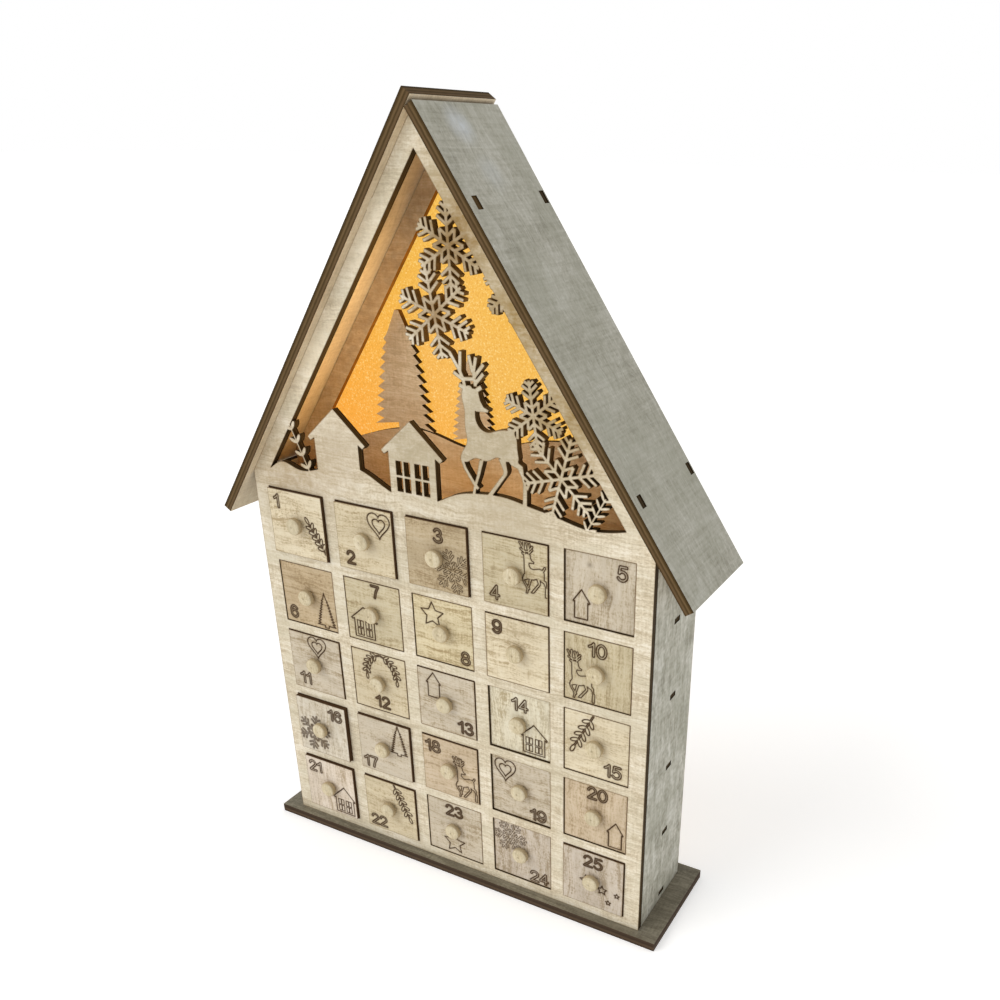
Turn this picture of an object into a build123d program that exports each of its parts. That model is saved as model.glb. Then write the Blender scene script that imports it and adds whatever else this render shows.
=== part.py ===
from build123d import *
import os
from math import atan2, cos, degrees, radians, sin, tan

os.makedirs("parts", exist_ok=True)

# Sheet thicknesses, in millimetres
front_ply = 4.0
wall_ply = 4.0
back_ply = 4.0
shelf_ply = 3.0
divider_ply = 3.0
roof_ply = 5.2
base_ply = 5.5
backdrop_ply = 3.0
diffuser_sheet = 1.0
drawer_front_ply = 4.0
drawer_ply = 2.5

# Grid of drawer windows in the front panel
column_count = 5
row_count = 5
window_size = 39.5
post_width = 8.5
rail_height = 6.0
stile_width = 9.75
sill_height = 6.25
lintel_height = 7.6

# Case, base and roof
wall_depth = 54.5
wall_drop = 0.5
attic_drop = 3.35
back_inset = 2.5
base_side_overhang = 12.5
base_front_overhang = 5.5
base_rear_overhang = 3.5
roof_pitch = 55.5
roof_front_overhang = 5.0
roof_rear_overhang = 1.0
eave_overhang = 32.4
ridge_lap = 6.2

# Tabs and the mortises they go through
mortise_gap = 0.1
tab_recess = 0.4
shelf_tab_length = 7.0
shelf_tab_setback = 24.5
wall_tab_length = 12.0
wall_tab_inset = 9.0
roof_tab_length = 6.4
roof_tab_upper = 47.9
roof_tab_lower_inset = 24.3
backdrop_tab_length = 14.0
backdrop_tab_spacing = 150.0

# Drawers
drawer_gap = 0.45
tray_inset = 0.4
tray_side_height = 30.0
stop_gap = 0.3
deepest_recess = 1.2

# How far each drawer stands proud of the panel at rest, or is pushed in if below zero
drawer_stand = {
    1: 1.8, 2: 1.6, 3: 1.6, 4: 0.8, 5: -0.8,
    6: -0.3, 7: 0.0, 8: -0.3, 9: 0.5, 10: -0.3,
    11: 0.7, 12: 0.0, 13: 0.5, 14: -1.0, 15: -0.3,
    16: 2.6, 17: 1.6, 18: 0.8, 19: -0.9, 20: -0.5,
    21: 1.8, 22: 1.2, 23: -0.3, 24: -0.6, 25: 1.0,
}

# Turned wooden knob
knob_diameter = 10.0
knob_neck_diameter = 6.4
knob_reach = 5.0
knob_head = 3.6
knob_edge_round = 1.0
spigot_diameter = 4.0
spigot_gap = 0.1

# Gable scene cut in the front panel
rafter_width = 8.9
scene_drop = 2.85
scene_sill = 3.0
hill_root = 1.0
front_crest_ends = (3.0, 15.0)
front_crest = (
    (-111.5, 6.8), (-103, 11.4), (-92, 8.6), (-78, 10.6), (-48, 15.2), (-29, 6.6), (1, 6),
    (12, 11.4), (29, 15), (43, 15.4), (57, 13), (72, 10.4), (90, 7), (101, 8),
)
flake_stroke = 1.55
flake_lean = 52.0
flake_twigs = ((0.22, 0.29), (0.48, 0.35), (0.68, 0.32), (0.86, 0.2))
antler_stroke = 1.9
flakes_above_datum = ((59.6, 58.4, 16.5, 38.0), (74.5, 30.1, 21.0, 15.0))
flakes_under_slope = ((54.45, 18.1, 18.5, 32.0), (74.15, 43.6, 20.5, 40.0), (87.05, -0.2, 15.5, 38.0))
ear_stroke = 2.2
sprig_stroke = 0.9
sprig_first_pair = 0.6
sprig_places = (((-82.5, 6.0), (-94.2, 33.4)), ((87.4, 4.0), (98.6, 24.4)))
sprig_leaf_pairs = (4, 5)
sprig_leaf_widths = (2.2, 1.5)
leaf_length = 5.6
leaf_lean = 48.0
plain_cottage = -62.6
lit_cottage = -13.2
cottage_wall = 29.6
cottage_eaves = 39.0
cottage_wall_top = 28.6
cottage_apex = 46.0
cottage_eave_board = 1.9
cottage_sill = 7.0
pane_width = 3.8
pane_height = 7.6
glazing_bar = 1.3
window_post = 3.0

# Second layer with the firs, behind the front panel
backdrop_setback = 27.0
backdrop_rafter = 10.0
backdrop_gap = 0.3
back_crest_ends = (13.0, 28.0)
back_crest = (
    (-71.5, 23), (-44, 31), (-24, 31.6), (0, 26.4), (18, 28.4), (34, 33.6), (58, 38), (90, 36),
)
fir_places = ((-40.4, 31.9, 93.6, 19.5), (4.5, 29.5, 74.5, 14.0))
fir_rows = 12
fir_smooth_rows = 2
fir_tip = 2.4
fir_taper = 0.5
fir_notch = 0.31
fir_notch_taper = 0.55
fir_droop = 0.7
fir_skirt = 2.5
fir_trunk = 0.37
fir_root = 5.2
diffuser_margin = 3.0

# Light strip and battery case
led_board_length = 160.0
led_board_width = 8.0
led_board_thickness = 1.2
led_setback = 3.0
led_count = 8
led_spacing = 20.0
led_size = 5.0
led_height = 1.6
cell_count = 2
cell_diameter = 14.2
cell_length = 49.0
cell_cap_diameter = 5.5
cell_cap_length = 1.0
cell_gap = 0.3
contact_plate = 0.5
contact_reach = 1.4
contact_size = 10.0
case_wall = 1.6
case_lift = 18.0
case_fit = 0.3
flange_width = 5.0
flange_thickness = 1.0
lid_thickness = 1.2
lid_gap = 0.2
lid_lap = 2.0
rail_width = 1.4
rail_lip = 1.2
rail_lip_thickness = 0.8
lid_ridge_length = 16.0
lid_ridge_width = 1.4
lid_ridge_height = 0.6
lid_ridge_spacing = 3.0
lid_ridge_count = 3
switch_bay = 7.0
switch_carrier_length = 11.0
switch_carrier_thickness = 3.0
switch_nub_length = 4.0
switch_nub_width = 2.6
switch_nub_reach = 1.6
switch_travel = 4.0
switch_gap = 0.3

# Sizes worked out from the values above
column_pitch = window_size + post_width
row_pitch = window_size + rail_height
panel_width = column_count * column_pitch - post_width + 2 * stile_width
half_width = panel_width / 2
eave_height = sill_height + row_count * row_pitch - rail_height + lintel_height
pitch = radians(roof_pitch)
apex_height = eave_height + half_width * tan(pitch)
slope_length = half_width / cos(pitch)
wall_front = front_ply
back_front = wall_front + wall_depth
back_rear = back_front + back_ply
wall_height = eave_height - wall_drop
inner_half = half_width - wall_ply
base_depth = base_front_overhang + back_rear + base_rear_overhang
front_face_y = base_front_overhang - base_depth / 2
roof_tab_places = (roof_tab_upper, slope_length - roof_tab_lower_inset)
tab_through_roof = roof_ply - tab_recess
attic_floor_top = eave_height - attic_drop
scene_datum = eave_height - scene_drop
divider_places = [column_pitch * (place - column_count / 2) for place in range(1, column_count)]
drawer_size = window_size - 2 * drawer_gap
tray_width = drawer_size - 2 * tray_inset
drawer_length = back_front - deepest_recess - stop_gap
backdrop_front = front_ply + backdrop_setback
diffuser_front = backdrop_front + backdrop_ply


def save(node, shape):
    """Place a piece over the middle of the base's underside and write it out."""
    export_step(Pos(0, front_face_y, base_ply) * shape, f"parts/{node}.step")


def window_floor(row):
    """Height of the lower edge of a row of windows, row 0 at the bottom."""
    return sill_height + row * row_pitch


def block(x, y, z):
    """Box between two limits along each axis."""
    size = (x[1] - x[0], y[1] - y[0], z[1] - z[0])
    return Pos((x[0] + x[1]) / 2, (y[0] + y[1]) / 2, (z[0] + z[1]) / 2) * Box(*size)


def upright(sketch, front, thickness):
    """Sheet standing in the X-Z plane with its front face at the given Y."""
    return extrude(Plane.XZ.offset(-front) * sketch, -thickness)


def away(start, heading, distance):
    """Point at a distance from another, along a heading in degrees."""
    angle = radians(heading)
    return start[0] + distance * cos(angle), start[1] + distance * sin(angle)


def stroke(start, end, width):
    """Straight bar of one width between two points."""
    run = Vector(*end) - Vector(*start)
    turn = degrees(atan2(run.Y, run.X))
    middle = ((start[0] + end[0]) / 2, (start[1] + end[1]) / 2)
    return Pos(*middle) * Rot(0, 0, turn) * Rectangle(run.length, width)


def outline(points):
    """Flat figure with straight sides through its corners."""
    return make_face(Polyline(*points, close=True))


def ground(points, depth):
    """Flat figure under a rolling line of hills, down to a depth."""
    crest = Spline(*points)
    edges = Polyline(points[-1], (points[-1][0], depth), (points[0][0], depth), points[0])
    return make_face(crest + edges)


def down_slope(along, inward):
    """Point under the right-hand roof slope, from the apex down and inwards."""
    x = along * cos(pitch) - inward * sin(pitch)
    return x, apex_height - along * sin(pitch) - inward * cos(pitch)


def gable(inset, floor, half_span):
    """House gable whose slopes lie a given distance under the roof boards."""
    top = apex_height - inset / cos(pitch)
    shoulder = top - half_span * tan(pitch)
    right = [(half_span, floor), (half_span, shoulder)]
    left = [(-half_span, shoulder), (-half_span, floor)]
    return outline(right + [(0, top)] + left)


def gable_opening(inset, floor):
    """Triangle whose slopes lie a given distance under the roof boards."""
    top = apex_height - inset / cos(pitch)
    half_span = (top - floor) / tan(pitch)
    return outline([(-half_span, floor), (half_span, floor), (0, top)])


def roof_tabs(clearance):
    """Tabs on both slopes of a gable, or their mortises, as flat figures."""
    tabs = []
    for place in roof_tab_places:
        x, z = down_slope(place, 0)
        for side in (-1, 1):
            tab = Rectangle(roof_tab_length + 2 * clearance, 2 * tab_through_roof)
            tabs.append(Pos(side * x, z) * Rot(0, 0, -side * roof_pitch) * tab)
    return tabs


def snowflake(centre, radius, turn):
    """Six-armed flake whose arms carry pairs of twigs."""
    bars = []
    for arm in range(6):
        heading = turn + 60 * arm
        bars.append(stroke(centre, away(centre, heading, radius), flake_stroke))
        for place, length in flake_twigs:
            root = away(centre, heading, place * radius)
            for lean in (-flake_lean, flake_lean):
                bars.append(stroke(root, away(root, heading + lean, length * radius), flake_stroke))
    return bars


def sprig(root, tip, pairs, leaf_width):
    """Straight stem with pairs of rounded leaves."""
    heading = degrees(atan2(tip[1] - root[1], tip[0] - root[0]))
    length = (Vector(*tip) - Vector(*root)).length
    figures = [stroke(root, tip, sprig_stroke)]
    for pair in range(pairs):
        joint = away(root, heading, length * (pair + sprig_first_pair) / pairs)
        for lean in (-leaf_lean, leaf_lean):
            middle = away(joint, heading + lean, leaf_length / 2)
            leaf = Ellipse(leaf_length / 2, leaf_width / 2)
            figures.append(Pos(*middle) * Rot(0, 0, heading + lean) * leaf)
    return figures


def cottage(middle, foot):
    """Gabled cottage with small eaves."""
    eave = cottage_eaves / 2
    wall = cottage_wall / 2
    top = cottage_wall_top
    right = [(wall, foot), (wall, top)]
    right += [(eave - cottage_eave_board, top - cottage_eave_board), (eave, top)]
    left = [(-x, z) for x, z in reversed(right)]
    return outline(lifted([(middle + x, z) for x, z in right + [(0, cottage_apex)] + left]))


def cottage_panes(middle, sill):
    """Two windows of two by two panes."""
    pane_pitch = (pane_width + glazing_bar, pane_height + glazing_bar)
    window_shift = (pane_pitch[0] + pane_width + window_post) / 2
    panes = []
    for shift in (-window_shift, window_shift):
        for column in (-0.5, 0.5):
            for row in (0.5, 1.5):
                x = middle + shift + column * pane_pitch[0]
                z = scene_datum + sill + row * pane_pitch[1]
                panes.append(Pos(x, z) * Rectangle(pane_width, pane_height))
    return panes


def lifted(points):
    """Points given above the scene's datum, as heights above the base."""
    return [(x, scene_datum + z) for x, z in points]


def crest_line(points, ends):
    """Crest of hills across the whole panel, from heights above the scene's datum."""
    return lifted([(-half_width, ends[0]), *points, (half_width, ends[1])])


def reindeer():
    """Standing reindeer that looks back over its shoulder."""
    body = lifted([
        (31, 32.5), (35, 33.2), (39, 35.2), (44, 33.9), (47.5, 34.6), (50.7, 35.1), (50.6, 40.3),
        (50.3, 45.5), (48.5, 48.7), (43.5, 49.5), (38.5, 48.3), (34, 47), (30.5, 47.9), (28.2, 50.2),
        (27.1, 53.3), (27.1, 56.8), (24, 68.6), (20.2, 66), (20.8, 57), (20.8, 48), (21.4, 40),
        (18.6, 35.4), (17.8, 31.4), (20, 30.2), (25, 32.6),
    ])
    head = lifted([
        (23.8, 67.4), (29.3, 67.3), (29.5, 64.9), (30.3, 61.8), (32.1, 59), (34.9, 58), (34.4, 56.7),
        (27.7, 56.4), (22.4, 60.3),
    ])
    left_fore = lifted([
        (17.2, 31.9), (19.2, 31.1), (20.7, 27.3), (25.4, 20.6),
        (27.9, 17.9), (26.7, 16.7), (23.9, 19.4), (18.8, 27),
    ])
    right_fore = lifted([
        (28.5, 32.5), (31.1, 32.9), (28.3, 23.9), (26.4, 19),
        (24.7, 11.7), (23, 11.4), (24.6, 18.7), (26.6, 24.2),
    ])
    near_hind = lifted([
        (39.6, 34.8), (43.7, 34.9), (44.7, 28.9), (44.3, 27.2),
        (34.3, 13.7), (31.3, 13.4), (41.9, 27.2), (42.4, 28.8),
    ])
    far_hind = lifted([
        (44.4, 35.5), (50.7, 35.7), (51.1, 34.2), (53.4, 33), (53.7, 31.4), (54.3, 24.8), (55.7, 23.4),
        (55.4, 11), (52.9, 11), (53.4, 24.1), (52.7, 27.1), (50.6, 31.2), (46.8, 32.6),
    ])
    antlers = (
        ((21.7, 67.7), (20.8, 71.5)), ((20.8, 71.5), (18.8, 75.5)), ((18.8, 75.5), (13.8, 83)),
        ((19.3, 75), (19.8, 84.2)), ((20.5, 71.1), (15.4, 73.9)), ((20.8, 71.3), (27.6, 71.9)),
        ((27.8, 68.4), (27.6, 72)), ((27.6, 72), (26.4, 76.1)), ((26.4, 75), (24.6, 82.9)),
        ((26.8, 74.3), (28.6, 82.3)), ((27.2, 72.8), (32.8, 79.4)), ((27.7, 69.7), (32.6, 75)),
    )
    ears = (((23.1, 66.5), (18.3, 68.2)), ((28.2, 66.6), (31.2, 68.5)))
    pieces = [make_face(Spline(*body, periodic=True)), outline(head)]
    pieces += [outline(leg) for leg in (left_fore, right_fore, near_hind, far_hind)]
    pieces += [stroke(*lifted(tine), antler_stroke) for tine in antlers]
    pieces += [stroke(*lifted(ear), ear_stroke) for ear in ears]
    return pieces


def fir(middle, foot, apex, half_spread):
    """Fir tree with drooping saw-tooth sides under a blunt, smooth tip."""
    step = (apex - foot) / fir_rows
    half_trunk = half_spread * fir_trunk / 2
    right = [(fir_tip / 2, apex)]
    for row in range(fir_smooth_rows + 1, fir_rows + 1):
        share = row / fir_rows
        spread = half_spread * share ** fir_taper
        notch = spread - half_spread * fir_notch * share ** fir_notch_taper
        level = apex - step * row
        right += [(notch, level + fir_droop * step), (spread, level)]
    right += [(half_trunk, foot + fir_skirt), (half_trunk, foot - fir_root)]
    left = [(-x, z) for x, z in reversed(right)]
    return outline(lifted([(middle + x, z) for x, z in right + left]))


# Base board, with mortises for the wall tabs
base_half = half_width + base_side_overhang
base_y = (-base_front_overhang, back_rear + base_rear_overhang)
base_plate = block((-base_half, base_half), base_y, (-base_ply, 0))
wall_tab_middles = (
    wall_front + wall_tab_inset + wall_tab_length / 2,
    back_front - wall_tab_inset - wall_tab_length / 2,
)
for side in (-1, 1):
    for middle in wall_tab_middles:
        mortise = Box(wall_ply + 2 * mortise_gap, wall_tab_length + 2 * mortise_gap, base_ply)
        base_plate -= Pos(side * (half_width - wall_ply / 2), middle, -base_ply / 2) * mortise
save("base_plate", base_plate)

# Side walls, with a mortise for every shelf and tabs into the base
shelf_tops = [window_floor(row) for row in range(row_count)] + [attic_floor_top]
shelf_tab_middle = wall_front + shelf_tab_setback + shelf_tab_length / 2
wall_tab_depth = base_ply - tab_recess
for name, side in (("wall_left", -1), ("wall_right", 1)):
    faces = sorted((side * inner_half, side * half_width))
    wall = block(faces, (wall_front, back_front), (0, wall_height))
    for top in shelf_tops:
        tab_side = shelf_tab_length + 2 * mortise_gap
        mortise = Box(2 * wall_ply, tab_side, shelf_ply + 2 * mortise_gap)
        wall -= Pos(side * half_width, shelf_tab_middle, top - shelf_ply / 2) * mortise
    for middle in wall_tab_middles:
        tab_y = (middle - wall_tab_length / 2, middle + wall_tab_length / 2)
        wall += block(faces, tab_y, (-wall_tab_depth, 0))
    save(name, wall)

# Front panel: windows, gable scene and roof tabs, all cut from one sheet
windows = []
for column in range(column_count):
    for row in range(row_count):
        x = (column - (column_count - 1) / 2) * column_pitch
        windows.append(Pos(x, window_floor(row) + window_size / 2) * Rectangle(window_size, window_size))
scene_floor = scene_datum + scene_sill
figures = [ground(crest_line(front_crest, front_crest_ends), scene_floor - hill_root)]
figures += [cottage(plain_cottage, 0), cottage(lit_cottage, 0)]
figures += reindeer()
for across, height, radius, turn in flakes_above_datum:
    figures += snowflake((across, scene_datum + height), radius, turn)
for along, inward, radius, turn in flakes_under_slope:
    figures += snowflake(down_slope(along, inward), radius, turn)
for ends, pairs, leaf_width in zip(sprig_places, sprig_leaf_pairs, sprig_leaf_widths):
    figures += sprig(*lifted(ends), pairs, leaf_width)
scene_cut = gable_opening(rafter_width, scene_floor) - figures
front_sheet = gable(0, 0, half_width) + roof_tabs(0) - windows - scene_cut
front_sheet -= cottage_panes(lit_cottage, cottage_sill)
save("front_panel", upright(front_sheet, 0, front_ply))

# Back panel, a little narrower, with the cut-out for the battery case
bay_width = cell_length + cell_cap_length + 2 * (contact_plate + contact_reach + cell_gap)
bay_height = cell_count * cell_diameter + (cell_count + 1) * cell_gap
bay_depth = cell_diameter + 2 * cell_gap
case_width = bay_width + 2 * case_wall
case_height = bay_height + switch_bay + 3 * case_wall
case_floor = attic_floor_top + case_lift
case_middle = case_floor + case_height / 2
cutout = Pos(0, case_middle) * Rectangle(case_width + 2 * case_fit, case_height + 2 * case_fit)
back_sheet = gable(0, 0, half_width - back_inset) + roof_tabs(0) - cutout
save("back_panel", upright(back_sheet, back_front, back_ply))

# Roof boards, with mortises over the tabs of both panels; the left one laps the ridge
roof_length = slope_length + eave_overhang
roof_y = (-roof_front_overhang, back_rear + roof_rear_overhang)
for name, side, lap in (("roof_left", -1, ridge_lap), ("roof_right", 1, 0)):
    board = block((-lap, roof_length), roof_y, (0, roof_ply))
    for place in roof_tab_places:
        slot_x = (place - roof_tab_length / 2 - mortise_gap, place + roof_tab_length / 2 + mortise_gap)
        for sheet in ((0, front_ply), (back_front, back_rear)):
            slot_y = (sheet[0] - mortise_gap, sheet[1] + mortise_gap)
            board -= block(slot_x, slot_y, (-roof_ply, 2 * roof_ply))
    slanted = Pos(0, 0, apex_height) * Rot(0, roof_pitch, 0) * board
    save(name, slanted if side == 1 else mirror(slanted, Plane.YZ))

# Shelves and dividers, slotted into each other like an egg crate
lap_depth = wall_depth / 2
slot_width = divider_ply + 2 * mortise_gap
for level, top in enumerate(shelf_tops):
    shelf = block((-inner_half, inner_half), (wall_front, back_front), (top - shelf_ply, top))
    tab_reach = half_width - tab_recess
    tab_y = (shelf_tab_middle - shelf_tab_length / 2, shelf_tab_middle + shelf_tab_length / 2)
    shelf += block((-tab_reach, tab_reach), tab_y, (top - shelf_ply, top))
    inner_shelf = 0 < level < row_count
    if inner_shelf:
        for place in divider_places:
            slot_x = (place - slot_width / 2, place + slot_width / 2)
            slot_z = (top - 2 * shelf_ply, top + shelf_ply)
            shelf -= block(slot_x, (wall_front, wall_front + lap_depth), slot_z)
        save(f"shelf_{level}", shelf)
    elif level == 0:
        save("floor_shelf", shelf)
    else:
        for side in (-1, 1):
            middle = side * backdrop_tab_spacing / 2
            place = Pos(middle, backdrop_front + backdrop_ply / 2, top - shelf_ply / 2)
            slot = Box(backdrop_tab_length + 2 * mortise_gap, backdrop_ply + 2 * mortise_gap, shelf_ply)
            shelf -= place * slot
        save("attic_floor", shelf)

for number, place in enumerate(divider_places, start=1):
    divider_x = (place - divider_ply / 2, place + divider_ply / 2)
    divider = block(divider_x, (wall_front, back_front), (shelf_tops[0], attic_floor_top - shelf_ply))
    for top in shelf_tops[1:-1]:
        slot_z = (top - shelf_ply - mortise_gap, top + mortise_gap)
        slot_x = (place - divider_ply, place + divider_ply)
        divider -= block(slot_x, (wall_front + lap_depth, back_front), slot_z)
    save(f"divider_{number}", divider)

# Second layer: inner gable frame with hills and two firs, standing in the attic floor
backdrop_outer = gable(backdrop_gap, attic_floor_top, inner_half)
backdrop_hole = gable_opening(backdrop_rafter, attic_floor_top)
backdrop_figures = [ground(crest_line(back_crest, back_crest_ends), attic_floor_top)]
for middle, foot, apex, half_spread in fir_places:
    backdrop_figures.append(fir(middle, foot, apex, half_spread))
backdrop_sheet = (backdrop_outer - (backdrop_hole - backdrop_figures)) & backdrop_outer
backdrop_tab = Rectangle(backdrop_tab_length, 2 * (shelf_ply - tab_recess))
for side in (-1, 1):
    backdrop_sheet += Pos(side * backdrop_tab_spacing / 2, attic_floor_top) * backdrop_tab
save("scene_backdrop", upright(backdrop_sheet, backdrop_front, backdrop_ply))

# Translucent sheet behind the second layer
diffuser = gable(backdrop_gap + diffuser_margin, attic_floor_top, inner_half - diffuser_margin)
save("light_diffuser", upright(diffuser, diffuser_front, diffuser_sheet))

# Light strip lying on the attic floor behind the sheet
board_front = diffuser_front + diffuser_sheet + led_setback
board_top = attic_floor_top + led_board_thickness
led_board = block(
    (-led_board_length / 2, led_board_length / 2),
    (board_front, board_front + led_board_width),
    (attic_floor_top, board_top),
)
save("led_board", led_board)
led_chips = []
for chip in range(led_count):
    x = (chip - (led_count - 1) / 2) * led_spacing
    place = Pos(x, board_front + led_board_width / 2, board_top + led_height / 2)
    led_chips.append(place * Box(led_size, led_size, led_height))
save("led_chips", Compound(children=led_chips))

# Battery case set in the back panel, with a flange and two rails for its lid
bay_floor = case_floor + switch_bay + 2 * case_wall
bay_top = bay_floor + bay_height
case_front = back_rear - bay_depth - case_wall
half_case = case_width / 2
flange_half = half_case + flange_width
flange_rear = back_rear + flange_thickness
lid_half = bay_width / 2 + lid_lap
lid_front = flange_rear + lid_gap
lid_rear = lid_front + lid_thickness
rail_inner = lid_half + lid_gap
rail_outer = rail_inner + rail_width
lip_front = lid_rear + lid_gap
lip_rear = lip_front + rail_lip_thickness
lid_floor = bay_floor - case_wall
lid_top = bay_top + case_wall
case_z = (case_floor, case_floor + case_height)
flange_z = (case_z[0] - flange_width, case_z[1] + flange_width)
battery_case = block((-half_case, half_case), (case_front, back_rear), case_z)
battery_case += block((-flange_half, flange_half), (back_rear, flange_rear), flange_z)
for side in (-1, 1):
    rail_x = sorted((side * rail_inner, side * rail_outer))
    lip_x = sorted((side * (rail_inner - rail_lip), side * rail_outer))
    battery_case += block(rail_x, (flange_rear, lip_front), (lid_floor - rail_width, lid_top))
    battery_case += block(lip_x, (lip_front, lip_rear), (lid_floor - rail_width, lid_top))
stop_z = (lid_floor - rail_width, lid_floor - lid_gap)
bay_y = (back_rear - bay_depth, flange_rear)
battery_case += block((-rail_inner, rail_inner), (flange_rear, lip_front), stop_z)
battery_case -= block((-bay_width / 2, bay_width / 2), bay_y, (bay_floor, bay_top))
carrier_rear = back_rear - switch_gap
carrier_front = carrier_rear - switch_carrier_thickness
pocket_half = (switch_carrier_length + switch_travel) / 2 + switch_gap
pocket_z = (case_floor + case_wall, case_floor + case_wall + switch_bay)
slot_half = (switch_nub_length + switch_travel) / 2 + switch_gap
slot_middle = (pocket_z[0] + pocket_z[1]) / 2
slot_z = (slot_middle - switch_nub_width / 2 - switch_gap, slot_middle + switch_nub_width / 2 + switch_gap)
battery_case -= block((-pocket_half, pocket_half), (carrier_front - switch_gap, back_rear), pocket_z)
battery_case -= block((-slot_half, slot_half), (back_rear, flange_rear), slot_z)
save("battery_case", battery_case)

# Battery lid, a flat plate with thumb ridges that slides up out of the rails
battery_lid = block((-lid_half, lid_half), (lid_front, lid_rear), (lid_floor, lid_top))
for ridge in range(lid_ridge_count):
    level = lid_top - (ridge + 1) * lid_ridge_spacing
    ridge_x = (-lid_ridge_length / 2, lid_ridge_length / 2)
    battery_lid += block(ridge_x, (lid_rear, lid_rear + lid_ridge_height), (level - lid_ridge_width, level))
save("battery_lid", battery_lid)

# Power switch: a carrier inside the case with a nub through its slot, at the on end
switch_x = -switch_travel / 2
switch_slider = block(
    (switch_x - switch_carrier_length / 2, switch_x + switch_carrier_length / 2),
    (carrier_front, carrier_rear),
    (pocket_z[0] + switch_gap, pocket_z[1] - switch_gap),
)
switch_slider += block(
    (switch_x - switch_nub_length / 2, switch_x + switch_nub_length / 2),
    (carrier_rear, flange_rear + switch_nub_reach),
    (slot_middle - switch_nub_width / 2, slot_middle + switch_nub_width / 2),
)
save("switch_slider", switch_slider)

# Two round cells lying head to tail, with a sprung contact at each end
cell_y = back_rear - bay_depth / 2
cells = []
contacts = []
for place in range(cell_count):
    way = 1 if place % 2 == 0 else -1
    level = bay_floor + cell_gap + cell_diameter / 2 + place * (cell_diameter + cell_gap)
    body_x = -way * cell_cap_length / 2
    along_x = Rot(0, 90, 0)
    cell = Pos(body_x, cell_y, level) * along_x * Cylinder(cell_diameter / 2, cell_length)
    cap_x = body_x + way * (cell_length + cell_cap_length) / 2
    cell += Pos(cap_x, cell_y, level) * along_x * Cylinder(cell_cap_diameter / 2, cell_cap_length)
    cells.append(cell)
    for side in (-1, 1):
        plate_x = side * (bay_width - contact_plate) / 2
        tongue_x = side * (bay_width / 2 - contact_plate - contact_reach / 2)
        contact = Pos(plate_x, cell_y, level) * Box(contact_plate, contact_size, contact_size)
        contact += Pos(tongue_x, cell_y, level) * along_x * Cylinder(cell_cap_diameter / 2, contact_reach)
        contacts.append(contact)
save("battery_cells", Compound(children=cells))
save("battery_contacts", Compound(children=contacts))


def knob():
    """Turned knob with a spigot, its axis along +Z and its seat at Z = 0."""
    neck = knob_neck_diameter / 2
    head = knob_diameter / 2
    spigot = spigot_diameter / 2 - spigot_gap
    shoulder = knob_reach - knob_head
    spigot_end = -drawer_front_ply + tab_recess
    rim_low = (head, knob_reach - knob_edge_round)
    rim_high = (head - knob_edge_round, knob_reach)
    profile = Polyline(
        (0, spigot_end), (spigot, spigot_end), (spigot, 0), (neck, 0),
        (neck, shoulder - knob_edge_round), (head, shoulder), rim_low,
    )
    rim = RadiusArc(rim_low, rim_high, -knob_edge_round)
    close = Polyline(rim_high, (0, knob_reach), (0, spigot_end))
    return revolve(Plane.XZ * make_face(profile + rim + close), Axis.Z)


def drawer(middle, floor, stand):
    """Drawer of six pieces: front, two sides, back, bottom and knob."""
    half = drawer_size / 2
    half_tray = tray_width / 2
    y = (-stand, drawer_front_ply - stand, drawer_length - stand)
    low = floor + drawer_gap
    tray_low = low + drawer_ply
    level = low + drawer_size / 2
    front = block((middle - half, middle + half), y[:2], (low, low + drawer_size))
    facing = Pos(middle, -stand, level) * Rot(90, 0, 0)
    front -= facing * Pos(0, 0, -drawer_front_ply / 2) * Cylinder(spigot_diameter / 2, drawer_front_ply)
    bottom = block((middle - half_tray, middle + half_tray), y[1:], (low, tray_low))
    pieces = [front, bottom, facing * knob()]
    for side in (-1, 1):
        side_x = sorted((middle + side * half_tray, middle + side * (half_tray - drawer_ply)))
        pieces.append(block(side_x, y[1:], (tray_low, low + tray_side_height)))
    inside = half_tray - drawer_ply
    back_y = (y[2] - drawer_ply, y[2])
    pieces.append(block((middle - inside, middle + inside), back_y, (tray_low, low + tray_side_height)))
    return Compound(children=pieces)


# Drawers, numbered along the rows from the top left
for number in range(1, column_count * row_count + 1):
    row_from_top, column = divmod(number - 1, column_count)
    middle = (column - (column_count - 1) / 2) * column_pitch
    floor = window_floor(row_count - 1 - row_from_top)
    save(f"drawer_{number:02d}", drawer(middle, floor, drawer_stand[number]))
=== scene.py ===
import math
import bpy
import bmesh
import numpy as np
from mathutils import Matrix, Vector


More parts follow.
